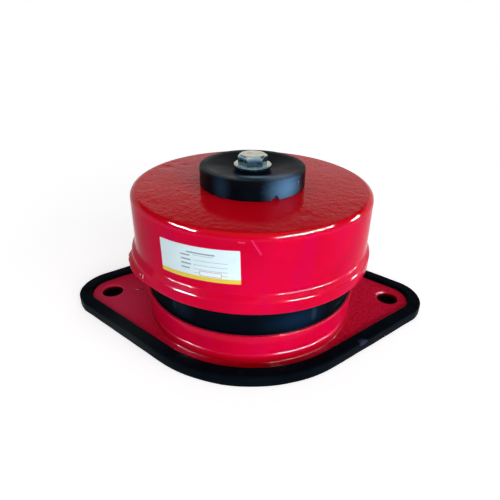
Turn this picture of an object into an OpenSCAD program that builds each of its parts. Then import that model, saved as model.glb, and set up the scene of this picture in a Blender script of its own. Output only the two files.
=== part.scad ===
// Housed spring vibration isolator: a cast cap slides on a rubber damping sleeve over two
// nested springs, on a cast base with a two-hole flange that stands in a rubber tray.
// +Z is up, X runs through the two fixing holes, and the origin is under the tray's centre.

/* [Base flange] */
// Distance between the centres of the two fixing holes
hole_spacing = 210; // [195:1:220]
// Diameter of a fixing hole
hole_d = 15; // [9:0.5:17]
// How far a fixing hole lies outside the centre of the flange's end arc
hole_outset = 3.2; // [0:0.1:4]
// Radius of the flange's end arcs
end_r = 17.7; // [16:0.1:24]
// Flange that shows outside the cup at its wide middle
flange_ledge = 6.2; // [5:0.1:14]
// Thickness of the flange
flange_t = 3.5; // [2.5:0.1:6]
// Rounding along the flange's upper edge
flange_edge_r = 1.5; // [0.5:0.1:2]
// Rounding round the mouth of a fixing hole
hole_edge_r = 1.6; // [0.5:0.1:2]

/* [Base cup] */
// Outside diameter of the cup
cup_od = 149; // [130:0.5:160]
// Wall of the cup
cup_wall = 5; // [3:0.1:7]
// Height of the cup over the underside of the flange
cup_h = 23; // [18:0.5:32]
// Thickness of the cup's floor
cup_floor_t = 6; // [4:0.1:10]
// Rounding of the cup's outer rim
cup_rim_r = 1.6; // [0.5:0.1:2.5]
// Fillet between the cup and the flange
cup_foot_r = 4.5; // [2:0.1:5]

/* [Rubber tray] */
// Thickness of the tray under the flange
tray_t = 2; // [1:0.1:5]
// Width of the tray's rim
tray_rim_w = 8.9; // [4:0.1:14]
// Height of the tray's rim over the flange
tray_rim_up = 2.2; // [0.5:0.1:5]
// Rounding of the rim's two upper edges
tray_edge_r = 1.2; // [0.3:0.1:1.8]
// Play between the flange and the tray's rim
tray_gap = 0.1; // [0:0.05:0.5]
// How much wider the tray's holes are than the fixing holes
tray_hole_room = 1; // [0:0.1:3]

/* [Damping sleeve] */
// Wall of the sleeve over the cup
sleeve_wall = 5.6; // [4.5:0.1:8]
// How far the sleeve stands back from the edge of its shoulder
shoulder_step = 1.3; // [0.6:0.1:2]
// Thickness of the shoulder that lies on the cup's rim
shoulder_t = 1; // [0.5:0.1:2]
// Play between the sleeve and the inside of the cup
sleeve_fit = 0.05; // [0:0.01:0.2]
// Rounding of the sleeve's upper edge
sleeve_edge_r = 1.5; // [0.5:0.1:2]
// Room over the sleeve with the cap fully down
sleeve_top_room = 3.2; // [1:0.1:8]

/* [Cap] */
// Height of the cap
cap_h = 48.5; // [44:0.5:60]
// Wall of the cap round the sleeve
cap_wall = 8; // [6:0.1:10]
// Thickness of the cap's top
cap_top_t = 7; // [5:0.1:12]
// Rounding of the cap's top edge
cap_edge_r = 4; // [2:0.1:6]
// Running play between the cap and the sleeve
cap_gap = 0.3; // [0.3:0.05:1]
// Open height between the cup's rim and the cap's mouth at rest
ride_gap = 21.7; // [21:0.1:30]
// How far the cap goes down under its greatest load
travel = 20; // [10:0.5:20]
// How far the band round the mouth stands out
band_out = 2.5; // [1.5:0.1:4]
// Straight height of the band
band_h = 7.6; // [6:0.1:12]
// Rounding of the band's upper edge
band_edge_r = 3; // [2:0.1:4]
// Hollow between the band and the wall
band_hollow_r = 5; // [3:0.1:8]
// Rounding of the band's lower edge
band_foot_r = 1.4; // [0.5:0.1:2]
// How much wider the mouth is than the bore, on each side
mouth_step = 3.8; // [2.8:0.1:5]
// Metal between the top of the wide mouth and the top of the straight band
mouth_lip = 2.3; // [1:0.1:4]
// Direction of the casting gate's stub round the cap
gate_angle = 209; // [0:1:359]
// Length of the stub round the band
gate_l = 46; // [8:0.5:60]
// How far the stub stands out of the band
gate_out = 2.2; // [1:0.1:4]
// Height of the stub
gate_h = 5.2; // [4.2:0.1:9]

/* [Springs] */
// Wire of the outer spring
outer_wire = 11; // [8:0.1:11.2]
// Turns of the outer spring, end turns included
outer_turns = 5; // [4:0.25:5.25]
// Wire of the inner spring
inner_wire = 8; // [5:0.1:8.5]
// Turns of the inner spring, end turns included
inner_turns = 6; // [4:0.25:6.5]
// Room between the outer spring and the sleeve
spring_room = 8; // [3:0.1:14]
// Room between an end turn and the turn next to it
end_turn_gap = 0.3; // [0.1:0.05:1]
// Wall of the rings that locate the springs
seat_ring_wall = 5.8; // [4:0.1:8]
// Height of the rings that locate the springs
seat_ring_h = 5; // [3:0.1:8]
// Play between a spring and its ring
seat_gap = 0.6; // [0.3:0.1:1.5]

/* [Top pad] */
// Diameter of the pad
pad_d = 69.6; // [50:0.1:90]
// Height of the pad
pad_h = 12.6; // [8:0.1:18]
// Rounding of the pad's upper edge
pad_edge_r = 0.8; // [0.3:0.1:2]
// Width of the flat land round the dish
pad_land_w = 4; // [2:0.1:10]
// Depth of the dish beside the bolt's seat
dish_depth = 3; // [2:0.1:4.5]
// How far the bolt's seat lies under the top of the pad
seat_drop = 1.2; // [0:0.1:1.8]
// How far the bolt's seat stands back under the washer
seat_inset = 0.7; // [0.2:0.1:2]
// Direction of the nick in the pad's lower edge
nick_angle = -65; // [-180:1:180]
// Width of the nick
nick_w = 6.1; // [2:0.1:10]
// Height of the nick
nick_h = 3.4; // [1:0.1:5]
// Depth of the nick
nick_deep = 3.5; // [1:0.1:8]

/* [Bolt] */
// Thread diameter of the bolt
bolt_d = 10; // [8:0.5:14]
// Length of the bolt under its head
bolt_l = 30; // [26:0.5:36]
// Width of the hexagon across its flats
hex_af = 17; // [15:0.1:20]
// Height of the hexagon
hex_h = 6.4; // [5:0.1:10]
// Direction of the hexagon's front face round the bolt
hex_angle = -80; // [-90:1:-30]
// Diameter of the flat crown of the hexagon
crown_d = 16; // [13:0.1:17]
// Slope of the chamfer over the hexagon's corners
hex_chamfer = 30; // [20:1:40]
// Diameter of the washer
washer_d = 24.7; // [22:0.1:32]
// Thickness of the washer
washer_t = 1.7; // [1:0.1:3]
// Rounding of the washer's upper edge
washer_edge_r = 0.4; // [0.1:0.05:0.5]
// Room round the bolt in the washer and in the pad
bolt_room = 0.5; // [0.2:0.05:1]
// Play between the bolt and its tapped hole
thread_fit = 0.05; // [0:0.01:0.1]
// Metal round the tapped hole
boss_wall = 8; // [5:0.1:12]
// Depth of the boss under the cap's top
boss_h = 13; // [8:0.5:20]

/* [Hidden] */
$fn = 96;
// Overlap that keeps cuts and joins clean
eps = 0.5;
casting_red = "#c8102e";
rubber_black = "#1d1f24";
spring_steel = "#5b6068";
zinc = "#c9cdd0";

// Flange and tray, seen from above: a middle arc, two end arcs and four tangent lines
mid_r = cup_od / 2 + flange_ledge;
end_x = hole_spacing / 2 - hole_outset;
tangent_a = acos((mid_r - end_r) / end_x);
side_l = end_x * sin(tangent_a);
flange_edge_w = end_r / 2;
// The straight sides lie a hair inside the tangent, so that they cross the discs and join cleanly
side_sink = 0.3;
side_lap = 1;

// Heights from the ground up
flange_z = tray_t;
flange_top = flange_z + flange_t;
tray_top = flange_top + tray_rim_up;
pocket_h = tray_top - tray_t + eps;
cup_floor_z = flange_z + cup_floor_t;
cup_rim_z = flange_z + cup_h;
mouth_z = cup_rim_z + ride_gap;
wall_z = mouth_z + band_h - mouth_lip;
cap_top_z = mouth_z + cap_h;
ceiling_z = cap_top_z - cap_top_t;
sleeve_top_z = ceiling_z - travel - sleeve_top_room;
pad_top_z = cap_top_z + pad_h;
seat_z = pad_top_z - seat_drop;
head_z = seat_z + washer_t;

// Radii from the cup outwards and inwards
cup_r = cup_od / 2;
cup_bore_r = cup_r - cup_wall;
shoulder_r = cup_r - cup_rim_r;
sleeve_r = shoulder_r - shoulder_step;
sleeve_bore_r = sleeve_r - sleeve_wall;
cap_bore_r = sleeve_r + cap_gap;
cap_r = cap_bore_r + cap_wall;
band_r = cap_r + band_out;
mouth_r = cap_bore_r + mouth_step;
outer_spring_r = sleeve_bore_r - spring_room - outer_wire / 2;
seat_ring_r = outer_spring_r - outer_wire / 2 - seat_gap;
inner_spring_r = seat_ring_r - seat_ring_wall - seat_gap - inner_wire / 2;
spring_l = ceiling_z - cup_floor_z;
tapped_r = bolt_d / 2 + thread_fit;
bolt_hole_r = bolt_d / 2 + bolt_room;
pad_seat_r = washer_d / 2 - seat_inset;

// Facets of a spring
wire_sides = 12;
steps_per_turn = 24;

// What a rounding of radius r takes off a corner at the origin of a shape on its lower left
module corner_cut(r) {
    difference() {
        translate([-r, -r]) square(r + eps);
        translate([-r, -r]) circle(r);
    }
}

// What a fillet of radius r adds in a corner at the origin, over a floor and right of a wall
module corner_fill(r) {
    difference() {
        translate([-eps, -eps]) square(r + eps);
        translate([r, r]) circle(r);
    }
}

module mirrored(axis) {
    children();
    mirror(axis) children();
}

// Block in the flange's outline, grown by `out`, from height z up: three turned discs and four straight
// sides that reach past the middle. The child is the profile of its edge, from x = 0 inwards.
module outline_block(out, z, height, edge_w) {
    side_w = 2 * (end_r + out) - side_lap;
    for (disc = [[0, mid_r + out], [end_x, end_r + out], [-end_x, end_r + out]])
        translate([disc[0], 0, 0])
            rotate_extrude() {
                translate([disc[1], 0]) children();
                translate([0, z]) square([disc[1] - edge_w / 2, height]);
            }
    mirrored([0, 1, 0])
        mirrored([1, 0, 0])
            rotate(tangent_a) translate([mid_r + out - side_sink, side_lap, 0])
                rotate([90, 0, 0]) linear_extrude(side_l + 2 * side_lap) {
                    children();
                    translate([-side_w, z]) square([side_w - edge_w / 2, height]);
                }
}

module at_holes() {
    mirrored([1, 0, 0]) translate([hole_spacing / 2, 0, 0]) children();
}

module tray_edge() {
    difference() {
        translate([-tray_rim_w, 0]) square([tray_rim_w, tray_top]);
        translate([0, tray_top]) corner_cut(tray_edge_r);
    }
}

// What is cut out of the tray: a pocket whose upper edge opens out in a rounding
module pocket_edge() {
    translate([-tray_rim_w, tray_t]) square([tray_rim_w, pocket_h]);
    translate([0, tray_top]) mirror([1, 0]) corner_cut(tray_edge_r);
}

module base_pad() {
    color(rubber_black)
        difference() {
            outline_block(tray_gap + tray_rim_w, 0, tray_top, tray_rim_w) tray_edge();
            outline_block(tray_gap, tray_t, pocket_h, tray_rim_w) pocket_edge();
            at_holes() translate([0, 0, -eps]) cylinder(h = tray_t + 2 * eps, d = hole_d + tray_hole_room);
        }
}

module flange_edge() {
    difference() {
        translate([-flange_edge_w, flange_z]) square([flange_edge_w, flange_t]);
        translate([0, flange_top]) corner_cut(flange_edge_r);
    }
}

module cup_profile() {
    difference() {
        translate([0, flange_z]) square([cup_r, cup_h]);
        translate([-eps, cup_floor_z]) square([cup_bore_r + eps, cup_h]);
        translate([cup_r, cup_rim_z]) corner_cut(cup_rim_r);
    }
    translate([cup_r, flange_top]) corner_fill(cup_foot_r);
    translate([seat_ring_r - seat_ring_wall, cup_floor_z - eps])
        square([seat_ring_wall, seat_ring_h + eps]);
}

module hole_mouth() {
    rotate_extrude()
        translate([hole_d / 2, flange_top]) mirror([1, 0]) corner_cut(hole_edge_r);
}

module base_casting() {
    color(casting_red)
        difference() {
            union() {
                outline_block(0, flange_z, flange_t, flange_edge_w) flange_edge();
                rotate_extrude() cup_profile();
            }
            at_holes() {
                translate([0, 0, flange_z - eps]) cylinder(h = flange_t + 2 * eps, d = hole_d);
                hole_mouth();
            }
        }
}

module sleeve_profile() {
    difference() {
        union() {
            translate([sleeve_bore_r, cup_floor_z])
                square([cup_bore_r - sleeve_fit - sleeve_bore_r, cup_h - cup_floor_t + eps]);
            translate([sleeve_bore_r, cup_rim_z]) square([sleeve_wall, sleeve_top_z - cup_rim_z]);
            translate([sleeve_bore_r, cup_rim_z]) square([shoulder_r - sleeve_bore_r, shoulder_t]);
            translate([sleeve_r, cup_rim_z + shoulder_t]) corner_fill(shoulder_step);
        }
        translate([sleeve_r, sleeve_top_z]) corner_cut(sleeve_edge_r);
    }
}

module damping_sleeve() {
    color(rubber_black) rotate_extrude() sleeve_profile();
}

// Height of the wire's centre after a number of turns: one closed turn at each end, even pitch between
function wire_z(turn, turns, length, rise) =
    turn < 1 ? rise * turn
    : turn > turns - 1 ? length - rise * (turns - turn)
    : rise + (length - 2 * rise) * (turn - 1) / (turns - 2);

// Compression spring with closed ends that are ground flat at z = 0 and z = length
module coil_spring(coil_r, wire, turns, length) {
    rise = wire + end_turn_gap;
    steps = ceil(turns * steps_per_turn);
    points = [for (i = [0 : steps])
        let (turn = turns * i / steps, a = 360 * turn, centre = wire_z(turn, turns, length, rise))
        for (j = [0 : wire_sides - 1])
            let (b = 360 * j / wire_sides, r = coil_r + wire / 2 * cos(b))
            [r * cos(a), r * sin(a), min(max(centre + wire / 2 * sin(b), 0), length)]];
    sides = [for (i = [0 : steps - 1], j = [0 : wire_sides - 1])
        let (p = i * wire_sides + j, q = i * wire_sides + (j + 1) % wire_sides)
        each [[p, q, q + wire_sides], [p, q + wire_sides, p + wire_sides]]];
    crest = wire_sides / 4;
    trough = wire_sides - crest;
    first_end = [for (k = [1 : wire_sides - 2])
        [crest, (crest + k + 1) % wire_sides, (crest + k) % wire_sides]];
    last_end = [for (k = [1 : wire_sides - 2])
        [for (j = [trough, trough + k, trough + k + 1]) steps * wire_sides + j % wire_sides]];
    polyhedron(points, concat(sides, first_end, last_end));
}

module outer_spring() {
    color(spring_steel)
        translate([0, 0, cup_floor_z]) coil_spring(outer_spring_r, outer_wire, outer_turns, spring_l);
}

// Wound the other way, so that the two springs can't lock together
module inner_spring() {
    color(spring_steel)
        translate([0, 0, cup_floor_z])
            mirror([0, 1, 0]) coil_spring(inner_spring_r, inner_wire, inner_turns, spring_l);
}

// Band round the mouth, which runs into the wall above it in a double curve
module band_profile() {
    edge_centre = [band_r - band_edge_r, mouth_z + band_h];
    reach = band_edge_r + band_hollow_r;
    curve_h = sqrt(pow(reach, 2) - pow(reach - band_out, 2));
    hollow_centre = [cap_r + band_hollow_r, edge_centre.y + curve_h];
    meet = edge_centre + (hollow_centre - edge_centre) * band_edge_r / reach;
    inside_r = cap_r - band_edge_r;
    difference() {
        translate([mouth_r, mouth_z]) square([band_r - mouth_r, band_h]);
        translate([band_r, mouth_z]) mirror([0, 1]) corner_cut(band_foot_r);
    }
    difference() {
        union() {
            intersection() {
                translate(edge_centre) circle(band_edge_r);
                translate(edge_centre - [eps, eps]) square(band_edge_r + 2 * eps);
            }
            polygon([[inside_r, edge_centre.y - eps], [edge_centre.x, edge_centre.y - eps], edge_centre,
                     meet, [cap_r, hollow_centre.y], [inside_r, hollow_centre.y]]);
        }
        translate(hollow_centre) circle(band_hollow_r);
    }
}

module cap_profile() {
    difference() {
        translate([0, wall_z]) square([cap_r, cap_top_z - wall_z]);
        translate([-eps, mouth_z]) square([cap_bore_r + eps, ceiling_z - mouth_z]);
        translate([cap_r, cap_top_z]) corner_cut(cap_edge_r);
    }
    band_profile();
    translate([0, ceiling_z - boss_h]) square([tapped_r + boss_wall, boss_h + eps]);
    translate([seat_ring_r - seat_ring_wall, ceiling_z - seat_ring_h])
        square([seat_ring_wall, seat_ring_h + eps]);
}

// Stub left where the casting's gate was broken off the band
module gate_stub() {
    span = gate_l / band_r * 180 / PI;
    rotate(gate_angle - span / 2)
        rotate_extrude(angle = span)
            difference() {
                translate([band_r - band_edge_r, mouth_z]) square([band_edge_r + gate_out, gate_h]);
                translate([band_r + gate_out, mouth_z + gate_h]) corner_cut(gate_out);
            }
}

module top_cap() {
    color(casting_red)
        difference() {
            union() {
                rotate_extrude() cap_profile();
                gate_stub();
            }
            translate([0, 0, ceiling_z - boss_h - eps])
                cylinder(h = boss_h + cap_top_t + 2 * eps, r = tapped_r);
        }
}

module pad_profile() {
    pad_r = pad_d / 2;
    dish_z = pad_top_z - dish_depth;
    difference() {
        translate([bolt_hole_r, cap_top_z]) square([pad_r - bolt_hole_r, pad_h]);
        translate([pad_r, pad_top_z]) corner_cut(pad_edge_r);
        polygon([[0, seat_z], [pad_seat_r, seat_z], [pad_seat_r, dish_z], [pad_r - pad_land_w, pad_top_z],
                 [pad_r - pad_land_w, pad_top_z + eps], [0, pad_top_z + eps]]);
    }
}

module top_pad() {
    nick_foot = nick_w / 2 * (nick_h + eps) / nick_h;
    color(rubber_black)
        difference() {
            rotate_extrude() pad_profile();
            rotate(nick_angle) translate([pad_d / 2 - nick_deep, 0, cap_top_z])
                rotate([90, 0, 90]) linear_extrude(nick_deep + eps)
                    polygon([[-nick_foot, -eps], [nick_foot, -eps], [0, nick_h]]);
        }
}

module bolt_washer() {
    color(zinc)
        rotate_extrude()
            difference() {
                translate([bolt_hole_r, seat_z]) square([washer_d / 2 - bolt_hole_r, washer_t]);
                translate([washer_d / 2, head_z]) corner_cut(washer_edge_r);
            }
}

// Cone-topped blank that takes the corners off the hexagon
module hex_blank() {
    corner_r = hex_af / 2 / cos(30);
    chamfer_h = (corner_r + eps - crown_d / 2) * tan(hex_chamfer);
    rotate_extrude()
        polygon([[0, 0], [corner_r + eps, 0], [corner_r + eps, hex_h - chamfer_h],
                 [crown_d / 2, hex_h], [0, hex_h]]);
}

module top_bolt() {
    color(zinc) {
        translate([0, 0, head_z])
            intersection() {
                rotate(hex_angle + 30) cylinder(h = hex_h, d = hex_af / cos(30), $fn = 6);
                hex_blank();
            }
        translate([0, 0, head_z - bolt_l]) cylinder(h = bolt_l + eps, d = bolt_d);
    }
}

base_pad();
base_casting();
damping_sleeve();
outer_spring();
inner_spring();
top_cap();
top_pad();
bolt_washer();
top_bolt();
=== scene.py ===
from math import acos, atan2, ceil, copysign, cos, degrees, dist, exp, pi, radians, sin, tan
import bpy
import bmesh
from mathutils import Matrix, Vector, noise


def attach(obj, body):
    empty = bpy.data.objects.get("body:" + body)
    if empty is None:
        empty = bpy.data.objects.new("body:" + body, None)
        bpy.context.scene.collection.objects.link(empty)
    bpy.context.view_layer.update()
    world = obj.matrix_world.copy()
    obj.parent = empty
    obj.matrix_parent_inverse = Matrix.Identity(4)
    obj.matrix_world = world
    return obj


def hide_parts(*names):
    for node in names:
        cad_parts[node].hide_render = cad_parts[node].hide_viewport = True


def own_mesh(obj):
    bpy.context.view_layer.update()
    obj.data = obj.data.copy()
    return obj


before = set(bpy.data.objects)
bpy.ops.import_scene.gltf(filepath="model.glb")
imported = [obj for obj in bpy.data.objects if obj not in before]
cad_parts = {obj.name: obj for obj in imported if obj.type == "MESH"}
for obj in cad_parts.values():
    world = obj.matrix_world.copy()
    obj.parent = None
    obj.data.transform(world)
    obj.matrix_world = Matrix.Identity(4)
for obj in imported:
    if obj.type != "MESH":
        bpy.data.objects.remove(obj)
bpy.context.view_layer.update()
mm = 0.001
print("frame loaded:", len(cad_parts), "solids")


# profiles are lists of (radius, height) in millimetres, meshes are in metres
def polar(r, a):
    return (r * cos(a), r * sin(a))


def arc(cx, cz, radius, startDeg, endDeg, steps=6):
    points = []
    for i in range(steps + 1):
        x, z = polar(radius, radians(startDeg + (endDeg - startDeg) * i / steps))
        points.append((cx + x, cz + z))
    return points


def between(a, b, step):  # evenly spaced points from a to b, both ends left out
    n = max(1, round(dist(a, b) / step))
    return [(a[0] + (b[0] - a[0]) * i / n, a[1] + (b[1] - a[1]) * i / n) for i in range(1, n)]


def wrapDeg(a):  # the same angle between -180 and 180 degrees
    return (a + 180) % 360 - 180


def turnFromFront(a):  # degrees to the right of the front, which faces -Y
    return wrapDeg(degrees(a) + 90)


def stationAngles(step, zones=()):  # angles round a turned piece, closer together in some zones
    angles = []
    a = 0
    while a < 360 - 1e-6:
        fine = [s for c, half, s in zones if abs(wrapDeg(a - c)) <= half]
        angles.append(radians(round(a, 4)))
        a += min(fine + [step])
    return angles


def smoothStep(low, high, x):  # low may lie above high
    t = min(max((x - low) / (high - low), 0), 1)
    return t * t * (3 - 2 * t)


def addVert(bm, x, y, z):
    return bm.verts.new((x * mm, y * mm, z * mm))


def bridge(bm, a, b):
    n = max(len(a), len(b))
    for i in range(n):
        j = (i + 1) % n
        if len(b) == 1:
            bm.faces.new((a[i], a[j], b[0]))
        else:
            bm.faces.new((a[i], a[j], b[j], b[i]))


def bridgeAll(bm, rings, closed=False):
    for a, b in zip(rings, rings[1:]):
        bridge(bm, a, b)
    if closed:
        bridge(bm, rings[-1], rings[0])


def tube(bm, rings):  # rings in a row, with a face at each end
    bridgeAll(bm, rings)
    bm.faces.new(rings[0])
    bm.faces.new(rings[-1])


def turn(bm, profile, angles, cx=0, shift=None, closed=False):
    rings = []
    for r, z in profile:
        if r == 0:
            rings.append([addVert(bm, cx, 0, z)])
            continue
        ring = []
        for a in angles:
            dr, dz = shift(a, r, z) if shift else (0, 0)
            x, y = polar(r + dr, a)
            ring.append(addVert(bm, cx + x, y, z + dz))
        rings.append(ring)
    bridgeAll(bm, rings, closed)
    return rings


def holePair(bm, profile, step, x):
    return [turn(bm, profile, stationAngles(step), side * x) for side in (-1, 1)]


def fillBetween(bm, end, *shapes):  # flat face between an outer ring and the rings inside it
    loops = [rings[end] for rings in shapes]
    edges = [bm.edges.get((a, b)) for loop in loops for a, b in zip(loop, loop[1:] + loop[:1])]
    bmesh.ops.triangle_fill(bm, edges=edges, use_beauty=True)


def toMesh(bm, name):
    bmesh.ops.recalc_face_normals(bm, faces=bm.faces)
    mesh = bpy.data.meshes.new(name)
    bm.to_mesh(mesh)
    bm.free()
    return mesh


def addObject(name, data):
    thing = bpy.data.objects.new(name, data)
    bpy.context.scene.collection.objects.link(thing)
    return thing


sharpEdge = 38  # degrees between faces from which an edge is shaded sharp


def makePiece(bm, name, material, body, replaced=None, sharpDeg=sharpEdge):
    mesh = toMesh(bm, name)
    mesh.polygons.foreach_set("use_smooth", [True] * len(mesh.polygons))
    mesh.set_sharp_from_angle(angle=radians(sharpDeg))
    mesh.materials.append(material)
    piece = addObject(name, mesh)
    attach(piece, body)
    if replaced:
        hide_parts(replaced)
    return piece


# node helpers
def feed(tree, socket, value):  # the value is plain, a colour without alpha or another node's output
    if isinstance(value, bpy.types.NodeSocket):
        tree.links.new(value, socket)
    elif socket.type == "RGBA":
        socket.default_value = (*value, 1)
    else:
        socket.default_value = value


def addNode(tree, kind, values, **settings):
    node = tree.nodes.new(kind)
    for key, value in settings.items():
        setattr(node, key, value)
    for key, value in values.items():
        feed(tree, node.inputs[key], value)
    return node


def mathNode(tree, operation, a, b=0, clamp=False):
    return addNode(tree, "ShaderNodeMath", {0: a, 1: b}, operation=operation, use_clamp=clamp).outputs[0]


def times(tree, a, b):
    return mathNode(tree, "MULTIPLY", a, b)


def vectorNode(tree, operation, a, b=(0, 0, 0)):
    return addNode(tree, "ShaderNodeVectorMath", {0: a, 1: b}, operation=operation)


def noiseNode(tree, values, dimensions="3D"):
    return addNode(tree, "ShaderNodeTexNoise", values, noise_dimensions=dimensions).outputs[0]


def spread(tree, value, low, high, ends=(0, 1), curve="LINEAR"):
    values = {"Value": value, "From Min": low, "From Max": high, "To Min": ends[0], "To Max": ends[1]}
    return addNode(tree, "ShaderNodeMapRange", values, interpolation_type=curve).outputs[0]


def splitAxes(tree, vector):
    return addNode(tree, "ShaderNodeSeparateXYZ", {0: vector}).outputs


def mixColour(tree, mask, a, b):
    return addNode(tree, "ShaderNodeMix", {0: mask, 6: a, 7: b}, data_type="RGBA").outputs[2]


def tint(tree, colour, tone, mask, share):  # mixes in a tone by a share of the mask
    return mixColour(tree, times(tree, mask, share), colour, tone)


def newGroup(name, inputs, output="Mask"):
    group = bpy.data.node_groups.new(name, "ShaderNodeTree")
    for label, value in inputs.items():
        kind = "NodeSocketVector" if isinstance(value, tuple) else "NodeSocketFloat"
        group.interface.new_socket(name=label, in_out="INPUT", socket_type=kind).default_value = value
    group.interface.new_socket(name=output, in_out="OUTPUT", socket_type="NodeSocketFloat")
    given = group.nodes.new("NodeGroupInput").outputs
    coords = group.nodes.new("ShaderNodeTexCoord").outputs
    return group, given, coords, group.nodes.new("NodeGroupOutput").inputs[0]


def placeGroup(tree, group, values):  # by name, or in the order of the group's inputs
    if isinstance(values, tuple):
        values = dict(enumerate(values))
    return addNode(tree, "ShaderNodeGroup", values, node_tree=group).outputs[0]


# mottle: a soft uneven mask, for roughness and colour
mottle, given, coords, result = newGroup("mottle", {"Scale": 60, "Low": 0.4, "High": 0.6, "Detail": 4})
grains = noiseNode(mottle, {"Vector": coords["Object"], "Scale": given["Scale"], "Detail": given["Detail"]})
feed(mottle, result, spread(mottle, grains, given["Low"], given["High"]))

# castRipple: the wavy skin of a sand casting under thick enamel, or the skin of moulded rubber
castRipple, given, coords, result = newGroup(
    "castRipple", {"Wave": 140, "Peel": 700, "Peel Share": 0.25, "Seed": 0}, "Height")
ripples = []
for scale, detail, rough in (("Wave", 2, 0.45), ("Peel", 1, 0.5)):
    values = {"Vector": coords["Object"], "Scale": given[scale], "W": given["Seed"]}
    ripples.append(noiseNode(castRipple, values | {"Detail": detail, "Roughness": rough}, "4D"))
peel = times(castRipple, ripples[1], given["Peel Share"])
feed(castRipple, result, mathNode(castRipple, "ADD", ripples[0], peel))

# scuffs: thin dull rub marks, stretched along one direction
scuffs, given, coords, result = newGroup(
    "scuffs", {"Stretch": (40, 40, 400), "Low": 0.62, "High": 0.7, "Seed": 0})
stretched = vectorNode(scuffs, "MULTIPLY", coords["Object"], given["Stretch"]).outputs[0]
rubs = noiseNode(scuffs, {"Vector": stretched, "W": given["Seed"], "Scale": 1, "Detail": 3}, "4D")
feed(scuffs, result, spread(scuffs, rubs, given["Low"], given["High"]))

# spot: a ragged patch round one place, for a smear, a chip, or a patch of painted light or shade
spot, given, coords, result = newGroup("spot", {
    "Centre": (0, 0, 0), "Reach": (0.004, 0.004, 0.004), "Rag": 0.6, "Rag Scale": 500, "Core": 0.7})
away = vectorNode(spot, "SUBTRACT", coords["Object"], given["Centre"]).outputs[0]
scaled = vectorNode(spot, "DIVIDE", away, given["Reach"]).outputs[0]
distance = vectorNode(spot, "LENGTH", scaled).outputs["Value"]
rags = noiseNode(spot, {"Vector": coords["Object"], "Scale": given["Rag Scale"], "Detail": 3})
ragged = times(spot, mathNode(spot, "SUBTRACT", rags, 0.5), given["Rag"])
feed(spot, result, spread(spot, mathNode(spot, "ADD", distance, ragged), 1, given["Core"], curve="SMOOTHSTEP"))

# upward: 1 on level faces, 0 on upright ones
upward, given, coords, result = newGroup("upward", {"Low": 0.2, "High": 0.9})
tilt = mathNode(upward, "ABSOLUTE", splitAxes(upward, coords["Normal"])[2])
feed(upward, result, spread(upward, tilt, given["Low"], given["High"], curve="SMOOTHSTEP"))

# heightBand: 1 below a height, 0 above another
heightBand, given, coords, result = newGroup("heightBand", {"Low": 0, "High": 0.01})
height = splitAxes(heightBand, coords["Object"])[2]
feed(heightBand, result, spread(heightBand, height, given["Low"], given["High"], (1, 0), "SMOOTHSTEP"))

# printField: a rectangle in a label's own coordinates
printField, given, coords, result = newGroup("printField", {"Left": 0, "Right": 1, "Bottom": 0, "Top": 1})
place = splitAxes(printField, coords["UV"])
inside = 1
for axis, operation, side in ((0, "GREATER_THAN", "Left"), (0, "LESS_THAN", "Right"),
                              (1, "GREATER_THAN", "Bottom"), (1, "LESS_THAN", "Top")):
    inside = times(printField, inside, mathNode(printField, operation, place[axis], given[side]))
feed(printField, result, inside)
print("shader groups made")


def newMaterial(name, values):
    material = bpy.data.materials.new(name)
    material.use_nodes = True
    shader = material.node_tree.nodes["Principled BSDF"]
    for key, value in values.items():
        feed(material.node_tree, shader.inputs[key], value)
    return material, material.node_tree, shader.inputs


def setSurface(tree, shader, colour, mask, rough, height, grain):
    feed(tree, shader["Base Color"], colour)
    feed(tree, shader["Roughness"], spread(tree, mask, 0, 1, rough))
    bump = addNode(tree, "ShaderNodeBump", {"Distance": grain, "Strength": 1, "Height": height})
    feed(tree, shader["Normal"], bump.outputs[0])


# red enamel: tones, the values of each group and the gloss of edges and walls
enamel = {
    "deep": (0.6, 0.0012, 0.03), "fresh": (0.7, 0.0018, 0.046), "streak": (0.6, 0.001, 0.085),
    # the darkest red serves for sand grain and for painted shade; the pale pink is a painted highlight on paint runs
    "primer": (0.9, 0.8, 0.8), "thick": (0.38, 0.0005, 0.005), "gleam": (0.78, 0.03, 0.16),
    # the near black is painted shade inside the fixing holes; the pale red is a painted reflection on the flange
    "hollow": (0.035, 0.0003, 0.002), "haze": (0.62, 0.029, 0.088),
    "patches": {"Scale": 26, "Low": 0.35, "High": 0.65, "Detail": 3},
    "sags": {"Stretch": (110, 110, 9), "Low": 0.5, "High": 0.75}, "sagShare": 0.55, "sagSeed": 2,
    "film": {"Scale": 90, "Low": 0.3, "High": 0.7, "Detail": 5},
    "sand": {"Scale": 800, "Low": 0.42, "High": 0.62, "Detail": 2},
    "skin": {"Wave": 300, "Peel": 760, "Peel Share": 0.4}, "ripple": 0.0002, "wallShare": 0.06,
    "level": {"Low": 0.3, "High": 0.95}, "flat": {"Low": 0.88, "High": 0.995},
    "toneSpotScale": 900, "toneSpotCore": 0.75,
    "rough": (0.02, 0.05), "ior": 1.5, "gloss": 0.06, "wallGloss": 0.012, "wallTilt": 0.12}


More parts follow.
